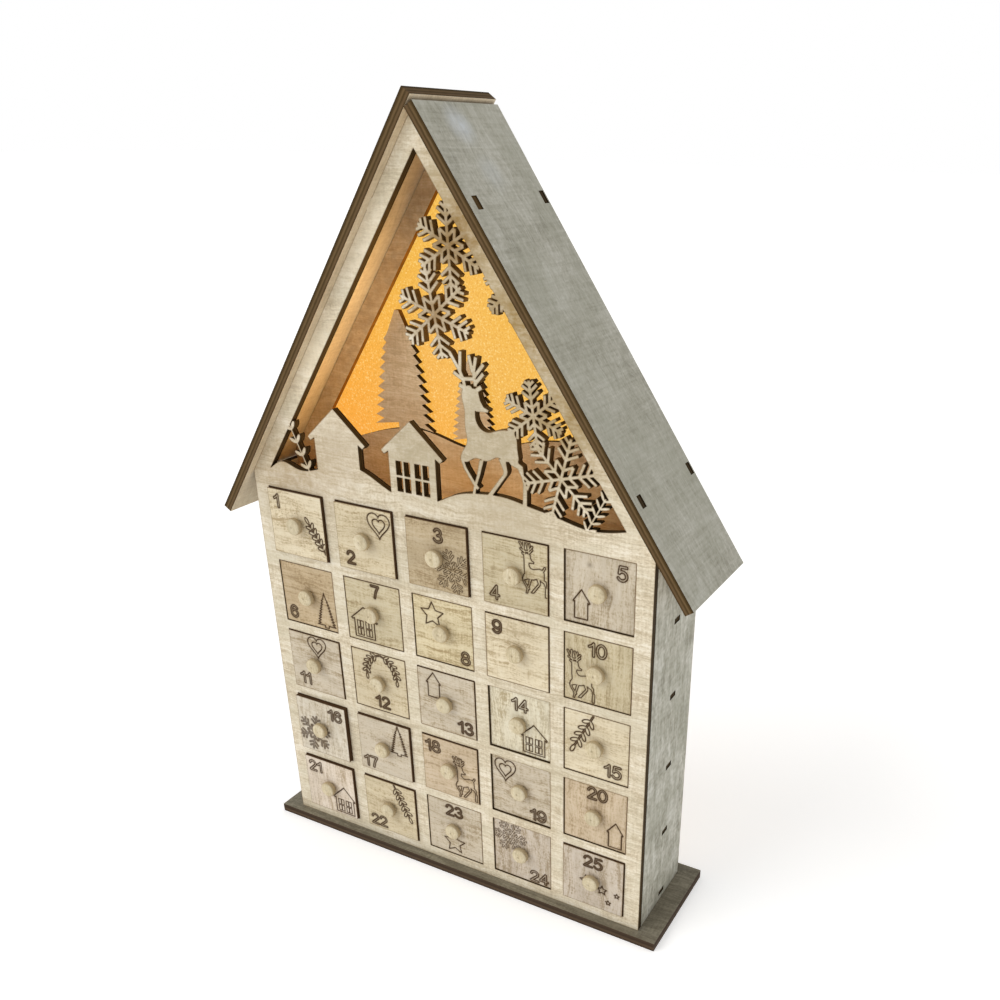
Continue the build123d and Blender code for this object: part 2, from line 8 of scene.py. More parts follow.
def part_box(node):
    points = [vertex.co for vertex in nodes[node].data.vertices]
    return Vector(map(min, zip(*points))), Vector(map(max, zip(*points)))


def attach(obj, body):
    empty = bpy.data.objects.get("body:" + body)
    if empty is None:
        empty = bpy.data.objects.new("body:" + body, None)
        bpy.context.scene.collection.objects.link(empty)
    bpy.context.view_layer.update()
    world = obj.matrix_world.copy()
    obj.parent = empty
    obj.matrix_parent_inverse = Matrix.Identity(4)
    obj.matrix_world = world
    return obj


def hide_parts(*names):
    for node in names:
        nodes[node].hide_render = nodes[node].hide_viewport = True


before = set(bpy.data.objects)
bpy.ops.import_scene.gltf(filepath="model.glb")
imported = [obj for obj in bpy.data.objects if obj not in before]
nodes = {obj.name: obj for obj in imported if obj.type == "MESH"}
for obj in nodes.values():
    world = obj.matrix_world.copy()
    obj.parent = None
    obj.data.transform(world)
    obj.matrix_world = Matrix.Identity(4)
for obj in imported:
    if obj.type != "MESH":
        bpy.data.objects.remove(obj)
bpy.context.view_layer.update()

# camera fitted to the corners of the drawer windows: place in m, directions, then pixels of the square frame
camera = {
    "place": (0.292217, -0.422525, 0.414993),
    "right": (0.89037385, 0.45487267, 0.01803515),
    "down": (0.22246352, -0.40020474, -0.88901415),
    "forward": (-0.39717048, 0.79556711, -0.4575244),
    "focal": 978.404, "middle": (598.888, 636.661), "pixels": 1000,
    "sensor": 36.0, "nearest": 0.01,  # width of the film in mm, and what is cut off in front in m
}
lens = bpy.data.cameras.new("photoLens")
lens.sensor_width = camera["sensor"]
lens.lens = camera["sensor"] * camera["focal"] / camera["pixels"]
lens.shift_x = (camera["pixels"] / 2 - camera["middle"][0]) / camera["pixels"]
lens.shift_y = (camera["middle"][1] - camera["pixels"] / 2) / camera["pixels"]
lens.clip_start = camera["nearest"]
eye = bpy.data.objects.new("photoCamera", lens)
# Blender's camera has y up and looks along its own -z
turn = np.array([camera["right"], camera["down"], camera["forward"]]).T * (1, -1, -1)
eye.matrix_world = Matrix.Translation(camera["place"]) @ Matrix(turn.tolist()).to_4x4()
bpy.context.scene.collection.objects.link(eye)
bpy.context.scene.camera = eye
bpy.context.scene.view_settings.view_transform = "Standard"
print("camera set")


def linear(hexColour):
    # sRGB hex to linear: the usual curve, channel by channel
    raw = np.array([int(hexColour[i:i + 2], 16) for i in (1, 3, 5)]) / 255
    low, high = raw / 12.92, ((raw + 0.055) / 1.055) ** 2.4
    return (*np.where(raw <= 0.04045, low, high).tolist(), 1.0)


def addNode(tree, kind, inputs=(), stops=(), **settings):
    # inputs by the sockets' names or numbers, or in their order: a socket is linked, a value is set
    node = tree.nodes.new("ShaderNode" + kind)
    for key, value in settings.items():
        setattr(node, key, value)
    pairs = inputs.items() if isinstance(inputs, dict) else enumerate(inputs)
    for key, value in pairs:
        if isinstance(value, bpy.types.NodeSocket):
            tree.links.new(value, node.inputs[key])
        else:
            node.inputs[key].default_value = value
    for place, (position, colour) in enumerate(stops):  # colour stops of a ramp, which starts with two
        ramp = node.color_ramp.elements
        stop = ramp[place] if place < 2 else ramp.new(position)
        stop.position, stop.color = position, linear(colour)
    return node


def blankMaterial(name):
    material = bpy.data.materials.new(name)
    material.use_nodes = True
    material.node_tree.nodes.clear()
    return material, material.node_tree


def refinish(node, material):
    # a CAD node keeps its mesh and gets this material
    nodes[node].data.materials.clear()
    nodes[node].data.materials.append(material)


def makePiece(name, vertices, faces, material, smooth=False, **attributes):
    # vertices in mm in the part's frame; attributes are one value per vertex, or per face where named cut
    mesh = bpy.data.meshes.new(name)
    mesh.from_pydata((np.asarray(vertices) / 1000).tolist(), [], faces)
    for key, values in attributes.items():
        flat = np.asarray(values, dtype=np.float32)
        kind = "FLOAT_COLOR" if flat.ndim == 2 else "FLOAT"
        layer = mesh.attributes.new(key, kind, "FACE" if key == "cut" else "POINT")
        layer.data.foreach_set("color" if flat.ndim == 2 else "value", flat.ravel())
    mesh.polygons.foreach_set("use_smooth", np.full(len(mesh.polygons), smooth))
    mesh.materials.append(material)
    mesh.update()
    piece = bpy.data.objects.new(name, mesh)
    bpy.context.scene.collection.objects.link(piece)
    return piece


def hangLamp(name, kind, power, facing):
    # a lamp whose light goes the way it faces
    lamp = bpy.data.lights.new(name, kind)
    lamp.energy = power
    holder = bpy.data.objects.new(name, lamp)
    holder.rotation_mode = "QUATERNION"
    holder.rotation_quaternion = Vector(facing).to_track_quat("-Z", "Y")
    bpy.context.scene.collection.objects.link(holder)
    return lamp, holder


# soft white studio: pale surround, a broad key from the upper left and a weak fill from behind
studio = {
    "surround": 0.505, "backdrop": 1.0,  # what lights the object, and what the camera sees behind it
    "keyLamp": {"power": 1.45, "facing": (0.58, 0.62, -0.53), "spread": 50},
    "fillLamp": {"power": 0.5, "facing": (-0.5, -0.75, -0.45), "spread": 90},
    "floorSize": 30.0, "paper": [(0.3, "#f9f8f6"), (0.7, "#fdfcfb")], "gritsPerMetre": 900.0,
    "rough": 0.9, "specular": 0.1, "glow": 0.36,
}
white = linear("#ffffff")
world = bpy.data.worlds.new("paleSurround")
world.use_nodes = True
tree = world.node_tree
tree.nodes.clear()
sky = addNode(tree, "Background", {"Color": white, "Strength": studio["surround"]}).outputs[0]
seen = addNode(tree, "Background", {"Color": white, "Strength": studio["backdrop"]}).outputs[0]
ray = addNode(tree, "LightPath").outputs["Is Camera Ray"]
both = addNode(tree, "MixShader", (ray, sky, seen)).outputs[0]
addNode(tree, "OutputWorld", {"Surface": both})
bpy.context.scene.world = world
for name in ("keyLamp", "fillLamp"):
    lamp, holder = hangLamp(name, "SUN", studio[name]["power"], studio[name]["facing"])
    lamp.angle = math.radians(studio[name]["spread"])

# matt white studio paper, bright enough to run out into the surround
paper, tree = blankMaterial("studioPaper")
coord = addNode(tree, "TexCoord").outputs["Object"]
grit = addNode(tree, "TexNoise", {"Vector": coord, "Scale": studio["gritsPerMetre"]}).outputs["Fac"]
shade = addNode(tree, "ValToRGB", {"Fac": grit}, studio["paper"]).outputs["Color"]
coat = addNode(tree, "BsdfPrincipled", {
    "Base Color": shade, "Roughness": studio["rough"], "Specular IOR Level": studio["specular"],
    "Emission Color": white, "Emission Strength": studio["glow"],
}).outputs[0]
addNode(tree, "OutputMaterial", {"Surface": coat})
half = 1000 * studio["floorSize"] / 2
floorCorners = np.array([(-half, -half, 0), (half, -half, 0), (half, half, 0), (-half, half, 0)])
floor = makePiece("studioFloor", floorCorners, [(0, 1, 2, 3)], paper)
print("studio set")

# what all the plywood shares: noise as blob sizes in mm along, across and through the board, with its detail,
# and ranges as the noise's low and high level, then what these give where that is fixed
plywood = {
    "noiseRough": 0.6, "wander": ((38, 20, 30), 2.0),  # the grain's lines wander sideways
    "torn": ((5, 4, 4), 3.0), "tornRange": (0.36, 0.62, 0.6, 1.0),  # rims of the patches
    "cloudDetail": 3.0, "cloudRange": (0.4, 0.68), "poreDetail": 1.0, "poreRange": (0.66, 0.74),
    "smoke": ((3.0, 3.0, 0.6), 2.0), "smokeShare": 0.16,  # how unevenly the plies are charred
    "flat": 0.6,  # a face counts as cut where it faces along the board's normal by less than this
    "singeColour": "#7a5f3a", "singeRange": (0.95, 0.55, 0.0, 0.8), "singeRays": 8,
    "roughRange": (0.2, 0.8), "bump": 0.35, "relief": 0.06, "ior": 1.5,
    "sheen": 0.25, "charSheen": 0.03,  # char is matt
}


def plyMaterial(name, s):
    # Laser-cut plywood: wavy veneer grain under a thin rubbed wash, and charred cut edges showing the plies.
    # It gives the eye soft streaks, cloudy patches, pores and dark brown outlines.
    material, tree = blankMaterial(name)
    coord = addNode(tree, "TexCoord")
    point, normal = coord.outputs["Object"], coord.outputs["Normal"]
    ways = [(1000 * s[way]).tolist() for way in ("grain", "across", "normal")]
    along, across, out = [  # place on the board in mm
        addNode(tree, "VectorMath", (point, way), operation="DOT_PRODUCT").outputs["Value"] for way in ways
    ]

    def mottle(place, sizes, detail):  # noise with blobs of these sizes in mm
        scale = [1 / size for size in sizes]
        share = addNode(tree, "VectorMath", (place, scale), operation="MULTIPLY").outputs[0]
        return addNode(tree, "TexNoise", {
            "Vector": share, "Scale": 1.0, "Detail": detail, "Roughness": plywood["noiseRough"],
        }).outputs["Fac"]

    def overlaid(colour, layers):  # each layer covers the colour by its share, one after the other
        for share, over, way in layers:
            sockets = {0: share, 6: colour, 7: over}
            colour = addNode(tree, "Mix", sockets, data_type="RGBA", blend_type=way).outputs[2]
        return colour

    def patches(spots):  # layers of patches lighter or darker, with torn rims: rubbed wash and chalk, and on some boards painted shade and painted light
        layers = []
        for middle, radius, colour, strength in spots:
            centre = [value / 1000 for value in middle]
            reach = addNode(tree, "VectorMath", (point, centre), operation="DISTANCE").outputs["Value"]
            falling = (reach, 0.0, radius / 1000, strength, 0.0)
            fade = addNode(tree, "MapRange", falling, interpolation_type="SMOOTHSTEP").outputs[0]
            rim = mottle(straight, *plywood["torn"])
            torn = addNode(tree, "MapRange", (rim, *plywood["tornRange"])).outputs[0]
            share = addNode(tree, "Math", (fade, torn), operation="MULTIPLY").outputs[0]
            layers.append((share, linear(colour), "MIX"))
        return layers

    straight = addNode(tree, "CombineXYZ", (along, across, out)).outputs[0]
    wander = mottle(straight, *plywood["wander"])
    sideways = addNode(tree, "Math", (wander, s["sway"], across), operation="MULTIPLY_ADD").outputs[0]
    board = addNode(tree, "CombineXYZ", (along, sideways, out)).outputs[0]

    tone = 0.5 - sum(weight for sizes, detail, weight in s["pattern"]) / 2  # the sum comes out about a half
    for sizes, detail, weight in s["pattern"]:
        blobs = mottle(board, sizes, detail)
        tone = addNode(tree, "Math", (blobs, weight, tone), operation="MULTIPLY_ADD").outputs[0]
    outward = s["normal"].tolist()
    facing = addNode(tree, "VectorMath", (normal, outward), operation="DOT_PRODUCT").outputs["Value"]

    cloud = mottle(board, s["cloud"], plywood["cloudDetail"])
    cloud = addNode(tree, "MapRange", (cloud, *plywood["cloudRange"], 0.0, s["stainDeep"])).outputs[0]
    layers = [(cloud, linear(s["stain"]), "MIX")] + patches(s.get("spots", []))
    if "under" in s:  # the other face has a finish of its own
        below = addNode(tree, "Math", (facing, -plywood["flat"]), operation="LESS_THAN").outputs[0]
        layers.append((below, addNode(tree, "ValToRGB", {"Fac": tone}, s["under"]).outputs["Color"], "MIX"))
    if "tint" in s:  # each drawer's own veneer
        veneer = addNode(tree, "Attribute", attribute_name=s["tint"]).outputs["Color"]
        layers.append((1.0, veneer, "MULTIPLY"))
    pores = mottle(board, s["pore"], plywood["poreDetail"])
    pores = addNode(tree, "MapRange", (pores, *plywood["poreRange"], 0.0, s["poreDark"])).outputs[0]
    layers.append((pores, linear(s["poreColour"]), "MIX"))
    if "singe" in s:  # the face browned by the laser along the cuts, as wide as this in mm
        depth = addNode(tree, "AmbientOcclusion", {"Distance": s["singe"] / 1000},
                        samples=plywood["singeRays"], inside=True, only_local=True).outputs["AO"]
        singed = addNode(tree, "MapRange", (depth, *plywood["singeRange"])).outputs[0]
        layers.append((singed, linear(plywood["singeColour"]), "MIX"))
    faceColour = overlaid(addNode(tree, "ValToRGB", {"Fac": tone}, s["face"]).outputs["Color"], layers)

    plies = addNode(tree, "MapRange", (out, s["from"], s["to"], 0.0, 1.0)).outputs[0]
    smoke = mottle(board, *plywood["smoke"])
    smoke = addNode(tree, "Math", (smoke, plywood["smokeShare"], plies), operation="MULTIPLY_ADD").outputs[0]
    smoke = addNode(tree, "Math", (smoke, plywood["smokeShare"] / 2), operation="SUBTRACT").outputs[0]
    edgeColour = addNode(tree, "ValToRGB", {"Fac": smoke}, s["edge"]).outputs["Color"]
    # painted light: patches that make the cut edges lighter and warmer
    edgeColour = overlaid(edgeColour, patches(s.get("edgeLightSpots", [])))
    if "cut" in s:  # cut edges marked on the mesh
        burnt = addNode(tree, "Attribute", attribute_name=s["cut"]).outputs["Fac"]
    else:  # cut edges are what doesn't face along the board's normal
        flat = addNode(tree, "Math", (facing,), operation="ABSOLUTE").outputs[0]
        burnt = addNode(tree, "Math", (flat, plywood["flat"]), operation="LESS_THAN").outputs[0]
    layers = [(burnt, edgeColour, "MIX")]
    if "burn" in s:  # laser lines, charred through the wash
        scorch = addNode(tree, "Attribute", attribute_name=s["burn"]).outputs["Fac"]
        layers.append((scorch, linear(s["scorch"]), "MIX"))
    wood = addNode(tree, "BsdfPrincipled", {
        "Base Color": overlaid(faceColour, layers),
        "Roughness": addNode(tree, "MapRange", (tone, *plywood["roughRange"], *s["rough"])).outputs[0],
        "Normal": addNode(tree, "Bump", {
            "Strength": plywood["bump"], "Distance": plywood["relief"] / 1000, "Height": tone,
        }).outputs[0],
        "Specular IOR Level": addNode(tree, "MapRange", (
            burnt, 0.0, 1.0, plywood["sheen"], plywood["charSheen"],
        )).outputs[0],
        "IOR": plywood["ior"],
    }).outputs[0]
    addNode(tree, "OutputMaterial", {"Surface": wood})
    return material


# colour stops of the cut edges through the plies, and grain patterns: blob sizes, detail and weight
charred = [
    (0.0, "#2b2214"), (0.24, "#463924"), (0.44, "#2e2414"),
    (0.6, "#4d3e29"), (0.8, "#312617"), (1.0, "#251c11"),
]
toasted = [
    (0.0, "#3e301a"), (0.24, "#68533a"), (0.44, "#463720"),
    (0.6, "#6c573b"), (0.8, "#4a3a22"), (1.0, "#3a2d18"),
]
washPattern = [  # grain lines, bands, faint brushing across, blotches, worn speckle and worn patches
    ((30, 0.9, 4), 3.0, 0.95), ((60, 4.5, 9), 2.0, 0.6), ((1.0, 13, 4), 2.0, 0.45),
    ((24, 20, 20), 3.0, 0.6), ((1.6, 0.9, 2), 3.0, 0.95), ((9, 3.5, 5), 4.0, 0.8),
]
brushPattern = [  # streaks along, fine and broad brush lines across, blotches, speckle and worn patches
    ((40, 1.2, 4), 3.0, 0.5), ((1.2, 24, 4), 2.0, 0.36), ((3.0, 30, 9), 2.0, 0.3),
    ((34, 28, 20), 3.0, 0.6), ((1.6, 1.4, 2), 3.0, 0.6), ((12, 6, 6), 4.0, 0.5),
]
wallPattern = [  # the same wash brushed up and down, in streaks wide enough to be seen from the side
    ((24, 2.6, 4), 3.0, 0.9), ((9, 3.4, 4), 3.0, 0.9), ((1.2, 24, 4), 2.0, 0.3),
    ((34, 28, 20), 3.0, 0.7), ((2.4, 2.6, 2), 3.0, 0.9), ((14, 12, 6), 4.0, 0.6),
]
birch = {"pattern": washPattern, "edge": charred, "sway": 9.0, "cloud": (40, 16, 20), "pore": (3.2, 0.5, 2)}
finishes = {
    "paleWash": {  # birch ply, rubbed with white
        **birch, "face": [(0.2, "#bbab8f"), (0.5, "#d8cbb1"), (0.8, "#eae1ce")],
        "stain": "#c6bda3", "stainDeep": 0.5, "poreDark": 0.25, "poreColour": "#a08a68",
        "rough": (0.72, 0.55), "singe": 0.6,
    },
    "greyWash": {  # the same ply under a grey-green wash, brushed along and across
        "face": [(0.18, "#8f8c7d"), (0.5, "#b1ae9f"), (0.82, "#cbc9be")],
        "under": [(0.2, "#b9a88b"), (0.5, "#cfbd9f"), (0.8, "#ddcfb4")],
        "pattern": brushPattern, "edge": toasted, "sway": 12.0,
        "stain": "#a5a493", "stainDeep": 0.6, "cloud": (60, 44, 30),
        "pore": (7.0, 0.6, 2), "poreDark": 0.35, "poreColour": "#d9d8d0", "rough": (0.7, 0.5),
    },
    "darkStain": {  # base board, stained grey-brown
        **birch, "face": [(0.2, "#6a6352"), (0.5, "#7f7866"), (0.8, "#968f7c")],
        "edge": [(0.0, "#3a2f24"), (0.35, "#574738"), (0.6, "#3d3126"), (1.0, "#4a3c30")],
        "stain": "#6f6858", "stainDeep": 0.5, "poreDark": 0.3, "poreColour": "#433c30", "rough": (0.7, 0.5),
    },
    "rawPly": {  # bare birch ply inside and behind
        **birch, "face": [(0.2, "#bca07a"), (0.5, "#d2b892"), (0.8, "#e2cdaa")],
        "stain": "#c4a880", "stainDeep": 0.4, "poreDark": 0.3, "poreColour": "#8f7350", "rough": (0.75, 0.58),
    },
}
finishes["wallWash"] = {**finishes["greyWash"], "pattern": wallPattern, "edge": charred}
rubbedAndShaded = {  # patches lighter or darker: wash rubbed thin or thick, chalk, and painted shade in the gable: point in mm, radius, colour, strength
    "front_panel": [
        # painted shade: dark brown patches over the upper snowflakes, which lie in shade under the ridge.
        # Darker patches lie over the gable's figures, and two lighter ones on the left rafter
        ((34, -30, 281), 62, "#ab9c7e", 0.85), ((-12, -30, 268), 48, "#ab9c7e", 0.8),
        ((-63, -30, 260), 40, "#b5a387", 0.7), ((-97, -30, 240), 45, "#a38c69", 0.8),
        ((45, -30, 239), 45, "#b5a486", 0.6), ((25, -30, 380), 44, "#93773d", 0.9),
        ((53, -30, 338), 44, "#93773d", 0.9), ((81, -30, 297), 44, "#93773d", 0.9),
        ((16, -30, 368), 24, "#856533", 0.9), ((6, -30, 338), 23, "#937447", 0.85),
        ((-34, -30, 368), 40, "#ecdfc5", 0.7), ((-74, -30, 312), 46, "#f0e2c6", 0.7),
    ],
    "scene_backdrop": [
        # painted shade: the second layer darker low in the middle, and in a run of patches down behind the
        # left rafter
        ((0, 1, 238), 95, "#b3966c", 0.4),
        *[((-25 - 17 * k, 1, 378 - 25 * k), 30, "#84725a", 0.65) for k in range(5)],  # down the left rafter
    ],
    # a darker, browner patch in the middle of the attic floor
    "attic_floor": [((0, -20, 237), 110, "#bd9c70", 0.5)],
    "roof_right": [((10.7, -8.8, 417.1), 13, "#d3d8dc", 0.8), ((24, -4, 398), 12, "#c6c9c9", 0.5)],
}
paintedEdgeLight = {  # painted light: cut edges in the gable made lighter and warmer, standing for warm light that falls on them from behind
    "front_panel": [((12, -28, 350), 62, "#8f6c38", 0.85), ((66, -28, 285), 48, "#80623a", 0.75)],
    "scene_backdrop": [((-14 - 14 * k, 2, 381 - 21 * k), 24, "#a8752c", 0.9) for k in range(6)],
}

# each case board's finish, which way it faces and which way its grain runs
xWay, yWay, zWay = np.eye(3)
caseBoards = {
    "front_panel": ("paleWash", yWay, xWay), "back_panel": ("rawPly", yWay, zWay),
    "scene_backdrop": ("rawPly", yWay, xWay), "base_plate": ("darkStain", zWay, xWay),
    "wall_left": ("wallWash", -xWay, zWay), "wall_right": ("wallWash", xWay, zWay),
    "floor_shelf": ("rawPly", zWay, xWay), "attic_floor": ("rawPly", zWay, xWay),
}
for place in range(1, 5):
    caseBoards[f"shelf_{place}"] = ("rawPly", zWay, xWay)
    caseBoards[f"divider_{place}"] = ("rawPly", xWay, zWay)
for node, (finish, normal, grain) in caseBoards.items():
    low, high = [1000 * np.array(corner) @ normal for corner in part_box(node)]
    lie = {"normal": normal, "grain": grain, "across": np.cross(normal, grain), "from": low, "to": high}
    wearShadeAndLight = {"spots": rubbedAndShaded.get(node, []), "edgeLightSpots": paintedEdgeLight.get(node, [])}
    refinish(node, plyMaterial(f"{finish}Ply_{node}", {**finishes[finish], **lie, **wearShadeAndLight}))

# the roof boards lean, so their plies count from the underside at the ridge, in mm
roof = {"pitch": math.radians(55.5), "ridge": 423.454, "ply": 5.2}
for node, side in (("roof_left", -1), ("roof_right", 1)):
    normal = np.array([side * math.sin(roof["pitch"]), 0, math.cos(roof["pitch"])])
    grain = np.array([side * math.cos(roof["pitch"]), 0, -math.sin(roof["pitch"])])
    under = roof["ridge"] * normal[2]
    lie = {"normal": normal, "grain": grain, "across": yWay, "from": under, "to": under + roof["ply"]}
    wearShadeAndLight = {"spots": rubbedAndShaded.get(node, [])}
    refinish(node, plyMaterial(f"greyWashPly_{node}", {**finishes["greyWash"], **lie, **wearShadeAndLight}))
print("case boards finished")

# translucent acrylic sheet, frosted and lit from behind: amber at the left, yellow above, with sparkling grit
sheet = {
    "glow": [(0.1, "#f9a83c"), (0.5, "#eeb448"), (0.95, "#f5c052")], "strength": 1.0,
    "glowWay": (3.0, 0.0, 3.6), "glowStart": 0.62,  # gained on the glow's stops per metre, and lost
    "grit": 1.0, "gritDetail": 2.0, "gritRough": 0.7,  # size in mm
    "spark": "#ffe39a", "sparkRange": (0.55, 0.72, 0.0, 0.75),
    "shade": "#d8963a", "shadeRange": (0.46, 0.3, 0.0, 0.65),
    "bare": "#3a2a14", "rough": 0.5, "bump": 0.3, "relief": 0.1,
}
material, tree = blankMaterial("frostedAcrylic")
coord = addNode(tree, "TexCoord").outputs["Object"]
glow = addNode(tree, "VectorMath", (coord, sheet["glowWay"]), operation="DOT_PRODUCT").outputs["Value"]
glow = addNode(tree, "Math", (glow, sheet["glowStart"]), operation="SUBTRACT").outputs[0]
colour = addNode(tree, "ValToRGB", {"Fac": glow}, sheet["glow"]).outputs["Color"]
grit = addNode(tree, "TexNoise", {
    "Vector": coord, "Scale": 1000 / sheet["grit"],
    "Detail": sheet["gritDetail"], "Roughness": sheet["gritRough"],
}).outputs["Fac"]
for key in ("spark", "shade"):
    share = addNode(tree, "MapRange", (grit, *sheet[key + "Range"])).outputs[0]
    colour = addNode(tree, "Mix", {0: share, 6: colour, 7: linear(sheet[key])}, data_type="RGBA").outputs[2]
acrylic = addNode(tree, "BsdfPrincipled", {
    "Base Color": linear(sheet["bare"]), "Roughness": sheet["rough"],
    "Normal": addNode(tree, "Bump", {
        "Strength": sheet["bump"], "Distance": sheet["relief"] / 1000, "Height": grit,
    }).outputs[0],
    "Emission Color": colour, "Emission Strength": sheet["strength"],
}).outputs[0]
addNode(tree, "OutputMaterial", {"Surface": acrylic})
refinish("light_diffuser", material)

# warm light in the gable from unseen lamps: one throws forward from the second layer, one lies along the
# left roof's inside, and a low one behind the front panel's hills lights those of the second layer
gableGlow = {
    "forward": {
        "place": (0.0, -0.001, 0.3), "facing": (0, -1, 0), "size": (0.09, 0.09), "power": 0.03, "spread": 180,
    },
    "sideways": {
        "place": (-0.049, -0.015, 0.294), "facing": (-0.824, -0.05, 0.566), "size": (0.008, 0.15),
        "power": 0.0125, "spread": 120,
    },
    "low": {
        "place": (0.012, -0.0215, 0.246), "facing": (0, 1, 0.12), "size": (0.17, 0.008),
        "power": 0.0036, "spread": 140,
    },
}
glowColour = (1.0, 0.67, 0.27)
for name, s in gableGlow.items():
    lamp, holder = hangLamp("glow_" + name, "AREA", s["power"], s["facing"])
    lamp.shape, lamp.color, lamp.spread = "ELLIPSE", glowColour, math.radians(s["spread"])
    lamp.size, lamp.size_y = s["size"]
    holder.location = s["place"]
    holder.visible_camera = False
print("lit sheet finished")


moulded = {"detail": 2.0, "range": (0.3, 0.7), "bump": 0.25}  # noise of the small parts, and how it counts


def mouldedMaterial(name, deep, pale, grainSize, cloudSize, rough, relief, metal):
    # Moulded or coated small parts: one colour with a fine grain of its own size and a soft sheen.
    material, tree = blankMaterial(name)
    coord = addNode(tree, "TexCoord").outputs["Object"]
    grain, cloud = [
        addNode(tree, "TexNoise", {
            "Vector": coord, "Scale": 1000 / size, "Detail": moulded["detail"],
        }).outputs["Fac"] for size in (grainSize, cloudSize)
    ]
    stops = list(zip(moulded["range"], (deep, pale)))
    shader = addNode(tree, "BsdfPrincipled", {
        "Base Color": addNode(tree, "ValToRGB", {"Fac": cloud}, stops).outputs["Color"],
        "Roughness": addNode(tree, "MapRange", (grain, *moulded["range"], *rough)).outputs[0],
        "Normal": addNode(tree, "Bump", {
            "Strength": moulded["bump"], "Distance": relief / 1000, "Height": grain,
        }).outputs[0],
        "Metallic": metal,
    }).outputs[0]
    addNode(tree, "OutputMaterial", {"Surface": shader})
    return material


# spark-eroded ABS case, black switch, lacquered cells, nickelled contacts, white board, yellow light chips:
# deep and pale colour, size of the grain and of the clouds in mm, roughness, relief in mm, metal
fittings = {
    "caseAbs": ("#dcd9d2", "#e6e4de", 0.5, 14, (0.5, 0.42), 0.04, 0.0),
    "switchAbs": ("#191919", "#232323", 0.4, 5, (0.45, 0.36), 0.03, 0.0),
    "cellLacquer": ("#3a4452", "#46515f", 0.6, 9, (0.32, 0.26), 0.01, 0.3),
    "nickelPlate": ("#b9b6ae", "#cfccc5", 0.3, 4, (0.34, 0.26), 0.01, 1.0),
    "solderMask": ("#dfe0da", "#ebebe6", 0.3, 6, (0.4, 0.32), 0.01, 0.0),
    "phosphor": ("#e2b34a", "#f0c65e", 0.2, 2, (0.35, 0.25), 0.01, 0.0),
}
fittingNodes = {
    "battery_case": "caseAbs", "battery_lid": "caseAbs", "switch_slider": "switchAbs",
    "battery_cells": "cellLacquer", "battery_contacts": "nickelPlate",
    "led_board": "solderMask", "led_chips": "phosphor",
}
made = {name: mouldedMaterial(name, *values) for name, values in fittings.items()}
for node, finish in fittingNodes.items():
    refinish(node, made[finish])
print("fittings finished")

tiny = 1e-9  # keeps a division from zero


# Distance fields on a drawer's face: x to the right and z up in mm from its middle, zero on an engraved line.
def pathDistance(x, z, points, closed=False):
    # distance to a chain of straight runs: nearest of the distances to each run
    start = np.asarray(points, dtype=float)
    end = np.roll(start, -1, axis=0)
    if not closed:
        start, end = start[:-1], end[:-1]
    best = np.full(x.shape, np.inf)
    for (ax, az), (bx, bz) in zip(start, end):
        dx, dz = bx - ax, bz - az
        share = np.clip(((x - ax) * dx + (z - az) * dz) / max(dx * dx + dz * dz, tiny), 0, 1)
        best = np.minimum(best, np.hypot(x - ax - share * dx, z - az - share * dz))
    return best


def shapeDistance(x, z, corners):
    # signed distance to a straight-sided figure,
    # negative where a ray to the right crosses its sides an odd number of times
    start = np.asarray(corners, dtype=float)
    end = np.roll(start, -1, axis=0)
    inside = np.zeros(x.shape, dtype=bool)
    for (ax, az), (bx, bz) in zip(start, end):
        if az != bz:
            inside ^= ((az > z) != (bz > z)) & (x < (bx - ax) * (z - az) / (bz - az) + ax)
    return np.where(inside, -1, 1) * pathDistance(x, z, corners, True)


def barDistance(x, z, bars, width):
    # signed distance to a union of round-ended bars
    return np.minimum.reduce([pathDistance(x, z, bar) for bar in bars]) - width / 2


def leafDistance(x, z, middle, heading, length, width):
    # near the rim of an ellipse: its level k = |p / (a, b)| minus one, over the level's slope
    c, s = math.cos(heading), math.sin(heading)
    dx, dz = x - middle[0], z - middle[1]
    u, v = dx * c + dz * s, dz * c - dx * s
    a, b = length / 2, width / 2
    level = np.hypot(u / a, v / b)
    return level * (level - 1) / np.maximum(np.hypot(u / a ** 2, v / b ** 2), tiny)


def away(start, heading, distance):
    return np.array(start) + distance * np.array([math.cos(heading), math.sin(heading)])


def onEllipse(middle, radii, angle):
    return np.stack([middle[0] + radii[0] * np.cos(angle), middle[1] + radii[1] * np.sin(angle)], axis=1)


def arc(middle, radii, first, last, count=18):
    return onEllipse(middle, radii, np.radians(np.linspace(first, last, count)))


